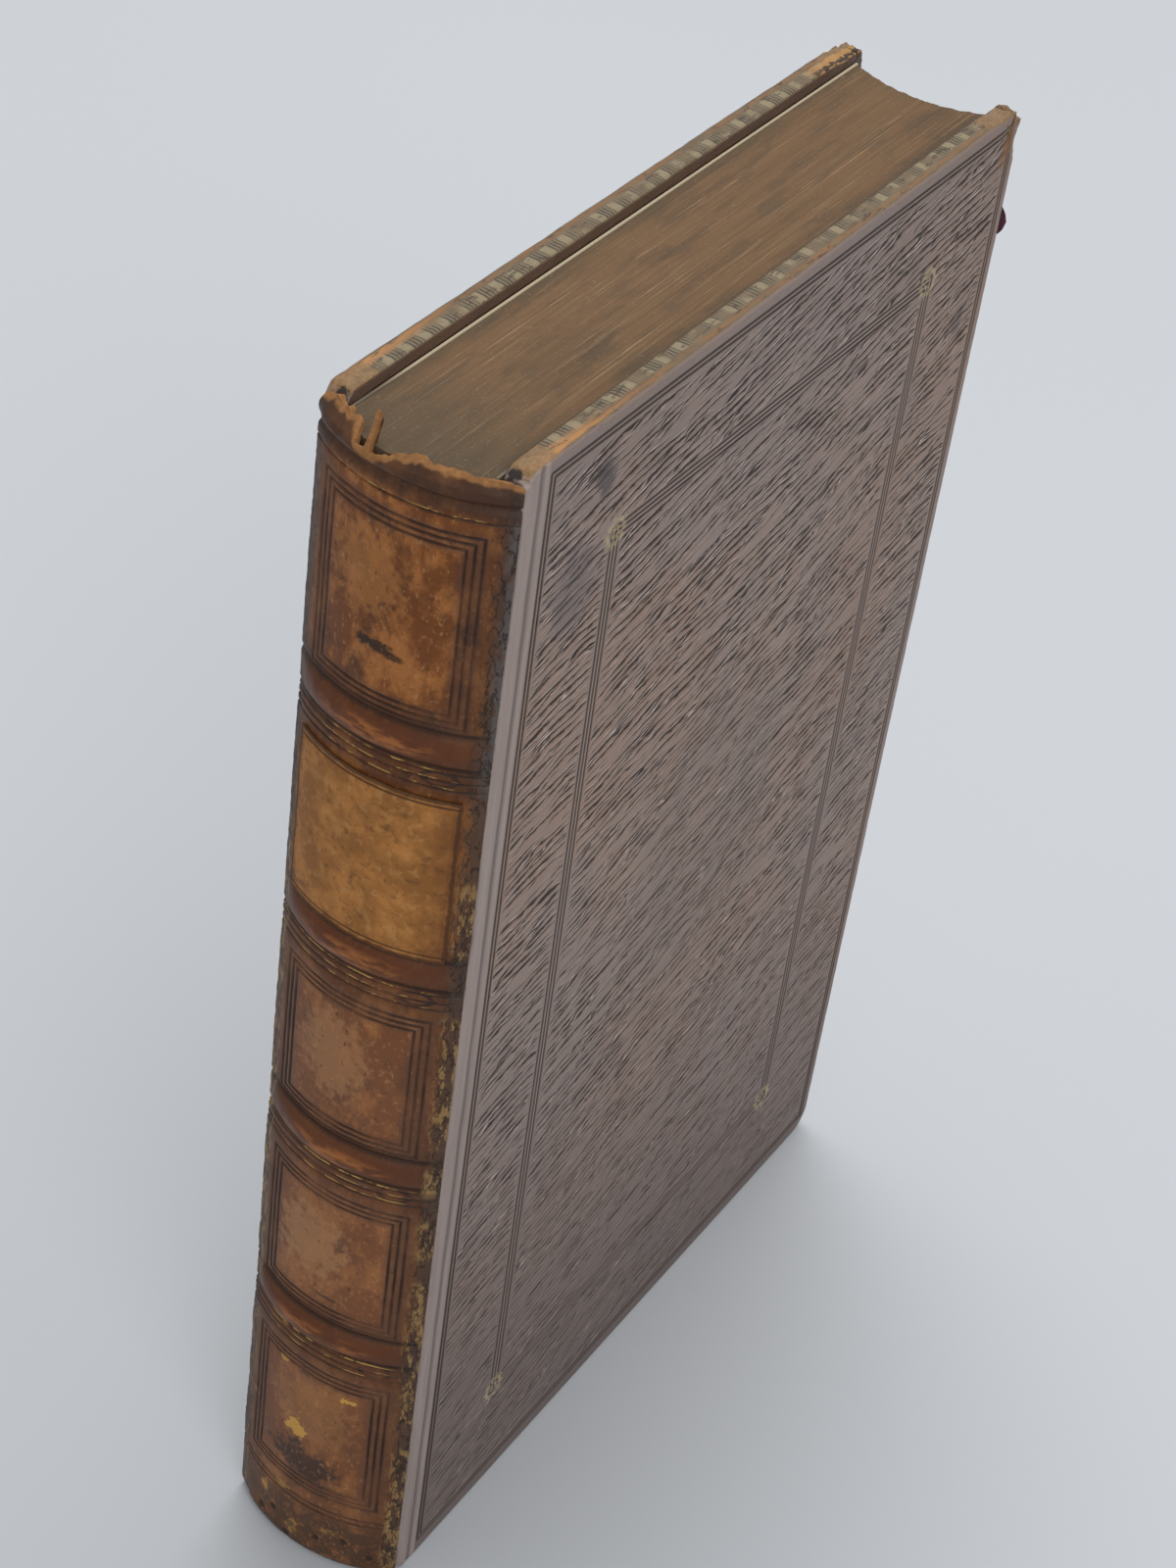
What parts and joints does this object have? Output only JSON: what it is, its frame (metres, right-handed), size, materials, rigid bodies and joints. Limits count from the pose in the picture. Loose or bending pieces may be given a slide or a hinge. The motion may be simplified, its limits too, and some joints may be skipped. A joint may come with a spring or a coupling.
{
  "type": "antique leather book",
  "caption": "Closed antique octavo book standing on its tail, in worn tooled leather with raised bands on the spine, a bare title label, a silk marker and hinged covers.",
  "frame": {"origin": "bottom centre of the box round the whole book", "axes": "+Z from the tail to the head, -Y out of the front cover, -X out of the spine"},
  "size_m": [0.1556, 0.033, 0.2274],
  "materials": {
    "pages": "toned paper edges, darkened and dusty",
    "endpaper": "cream laid paper",
    "grained_leather": "straight-grained leather, taupe brown, blind lines",
    "pasteboard": "raw pasteboard",
    "spine_calf": "smooth brown calf, polished and rubbed",
    "label_leather": "ochre leather, worn",
    "silk": "dark red silk ribbon",
    "hemp_cord": "hemp sewing cord"
  },
  "bodies": {
    "book_block": {"text_block": "pages", "front_flyleaf": "endpaper", "rear_flyleaf": "endpaper", "spine_leather": "spine_calf", "title_label": "label_leather", "ribbon_marker": "silk", "sewing_cord_1": "hemp_cord", "sewing_cord_2": "hemp_cord", "sewing_cord_3": "hemp_cord", "sewing_cord_4": "hemp_cord"},
    "front_cover": {"front_cover_leather": "grained_leather", "front_board": "pasteboard", "front_pastedown": "endpaper"},
    "rear_cover": {"rear_cover_leather": "grained_leather", "rear_board": "pasteboard", "rear_pastedown": "endpaper"}
  },
  "joints": [
    {"name": "front_cover_hinge", "type": "hinge", "parent": "book_block", "child": "front_cover", "pos_m": [-0.07079, -0.0165, 0.1125], "axis": [0, 0, -1], "range_deg": [0, 175]},
    {"name": "rear_cover_hinge", "type": "hinge", "parent": "book_block", "child": "rear_cover", "pos_m": [-0.07079, 0.0165, 0.1125], "axis": [0, 0, 1], "range_deg": [0, 175]}
  ]
}
